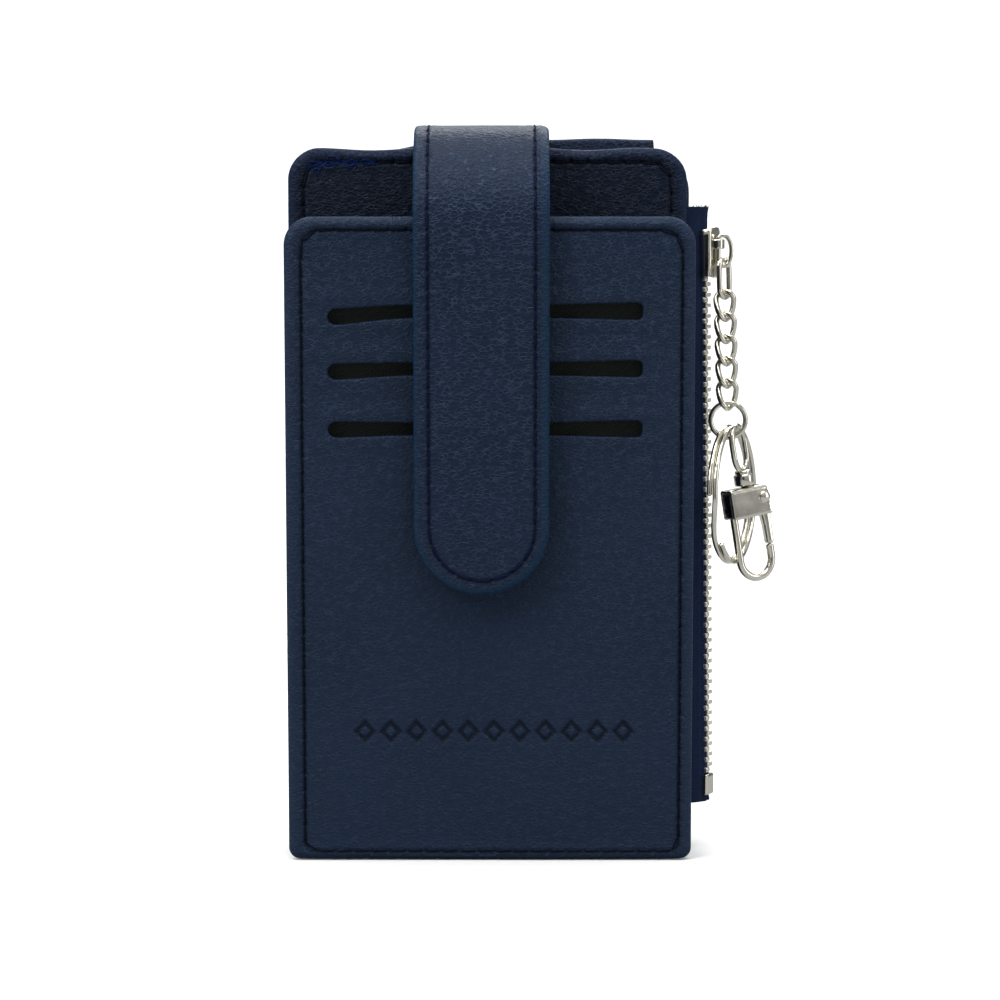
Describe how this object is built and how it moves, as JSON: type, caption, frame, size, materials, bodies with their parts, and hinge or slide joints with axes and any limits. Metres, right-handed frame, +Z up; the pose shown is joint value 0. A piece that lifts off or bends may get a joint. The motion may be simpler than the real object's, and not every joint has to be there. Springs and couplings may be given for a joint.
{
  "type": "card and coin wallet",
  "caption": "Slim upright pebbled-leather wallet with card slots, open compartment, side zip pocket, closing strap, and a chain with key ring and swivel snap hook.",
  "frame": {"origin": "middle of the bottom face of the zip section's folded strip, where the standing wallet rests", "axes": "+Z up along the wallet's height, +X towards the zip and chain, -Y towards the card slots and the strap's tip"},
  "size_m": [0.0881, 0.0312, 0.1309],
  "materials": {
    "front_leather": "fine pebbled, satin",
    "middle_leather": "fine pebbled, satin",
    "back_leather": "fine pebbled, satin",
    "strap_leather": "fine pebbled, satin, painted edges",
    "strap_underside": "smooth, matt",
    "gusset_fabric": "matt",
    "lining_twill": "matt twill",
    "zip_tape": "matt woven",
    "nickel": "polished nickel"
  },
  "bodies": {
    "wallet": {"back_panel": "back_leather", "middle_panel": "middle_leather", "back_lining": "lining_twill", "middle_lining": "lining_twill", "pocket_gusset": "back_leather", "front_panel": "front_leather", "card_pocket_top": "lining_twill", "card_pocket_middle": "lining_twill", "card_pocket_low": "lining_twill", "front_lining": "gusset_fabric", "base_gusset": "middle_leather", "gusset_left": "gusset_fabric", "gusset_right": "gusset_fabric", "snap_stud": "nickel", "strap_anchor": "strap_leather", "zip_tape_front": "zip_tape", "zip_tape_back": "zip_tape", "zip_teeth_front": "nickel", "zip_teeth_back": "nickel", "zip_bottom_stop": "nickel", "zip_top_stop_front": "nickel", "zip_top_stop_back": "nickel"},
    "slider": {"slider_body": "nickel", "slider_inner_plate": "nickel"},
    "strap_bridge": {"strap_bridge": "strap_leather"},
    "strap_tongue": {"strap_tongue": "strap_leather", "strap_lining": "strap_underside", "snap_socket": "nickel"},
    "pull_ring": {"pull_ring": "nickel"},
    "link_1": {"link_1": "nickel"},
    "link_2": {"link_2": "nickel"},
    "link_3": {"link_3": "nickel"},
    "link_4": {"link_4": "nickel"},
    "link_5": {"link_5": "nickel"},
    "link_6": {"link_6": "nickel"},
    "jump_ring": {"jump_ring": "nickel"},
    "key_ring": {"split_ring": "nickel"},
    "hook_eye": {"hook_eye": "nickel"},
    "hook": {"hook_body": "nickel", "hook_wire": "nickel", "gate_rivet": "nickel", "gate_spring": "nickel"},
    "gate": {"hook_gate": "nickel"}
  },
  "joints": [
    {"name": "slider_slide", "type": "slide", "parent": "wallet", "child": "slider", "axis": [0, 0, -1], "range_m": [0, 0.085]},
    {"name": "strap_root_bend", "type": "hinge", "parent": "wallet", "child": "strap_bridge", "pos_m": [0, 0.0062, 0.129], "axis": [-1, 0, 0], "range_deg": [0, 90]},
    {"name": "strap_front_bend", "type": "hinge", "parent": "strap_bridge", "child": "strap_tongue", "pos_m": [0, -0.0071, 0.1296], "axis": [-1, 0, 0], "range_deg": [0, 110]},
    {"name": "pull_ring_turn", "type": "hinge", "parent": "slider", "child": "pull_ring", "pos_m": [0.04103, -0.00129, 0.1087], "axis": [0, 0, 1], "range_deg": [-3, 15]},
    {"name": "link_1_swing", "type": "hinge", "parent": "pull_ring", "child": "link_1", "pos_m": [0.04201, -0.00129, 0.10595], "axis": [1, 0, 0], "range_deg": [-15, 0]},
    {"name": "link_2_swing", "type": "hinge", "parent": "link_1", "child": "link_2", "pos_m": [0.04218, -0.00162, 0.10029], "axis": [-0.4382, -0.8981, 0.0388], "range_deg": [0, 12]},
    {"name": "link_3_swing", "type": "hinge", "parent": "link_2", "child": "link_3", "pos_m": [0.04226, -0.00179, 0.09734], "axis": [0.8826, -0.4672, 0.0532], "range_deg": [0, 12]},
    {"name": "link_4_swing", "type": "hinge", "parent": "link_3", "child": "link_4", "pos_m": [0.04241, -0.00208, 0.0923], "axis": [-0.4693, -0.8823, 0.0369], "range_deg": [0, 12]},
    {"name": "link_5_swing", "type": "hinge", "parent": "link_4", "child": "link_5", "pos_m": [0.0425, -0.00225, 0.08936], "axis": [0.8826, -0.4672, 0.0532], "range_deg": [0, 12]},
    {"name": "link_6_swing", "type": "hinge", "parent": "link_5", "child": "link_6", "pos_m": [0.04265, -0.00254, 0.08432], "axis": [-0.4693, -0.8823, 0.0369], "range_deg": [0, 12]},
    {"name": "jump_ring_swing", "type": "hinge", "parent": "link_6", "child": "jump_ring", "pos_m": [0.04277, -0.00277, 0.08033], "axis": [-0.4693, -0.8823, 0.0369], "range_deg": [0, 12]},
    {"name": "key_ring_swing", "type": "hinge", "parent": "jump_ring", "child": "key_ring", "pos_m": [0.04212, -0.00306, 0.07523], "axis": [1, 0, 0], "range_deg": [-12, 12]},
    {"name": "hook_swing", "type": "hinge", "parent": "jump_ring", "child": "hook_eye", "pos_m": [0.04426, -0.00305, 0.0755], "axis": [1, 0, 0], "range_deg": [-12, 12]},
    {"name": "hook_swivel", "type": "hinge", "parent": "hook_eye", "child": "hook", "pos_m": [0.04595, -0.00295, 0.06619], "axis": [-0.1564, -0.0002, 0.9877], "range_deg": [-30, 30]},
    {"name": "gate_press", "type": "hinge", "parent": "hook", "child": "gate", "pos_m": [0.04936, -0.00181, 0.0645], "axis": [-0.3394, 0.9391, -0.0535], "range_deg": [0, 18], "stiffness_Nm_per_rad": 0.004, "springref_deg": -20.05}
  ]
}
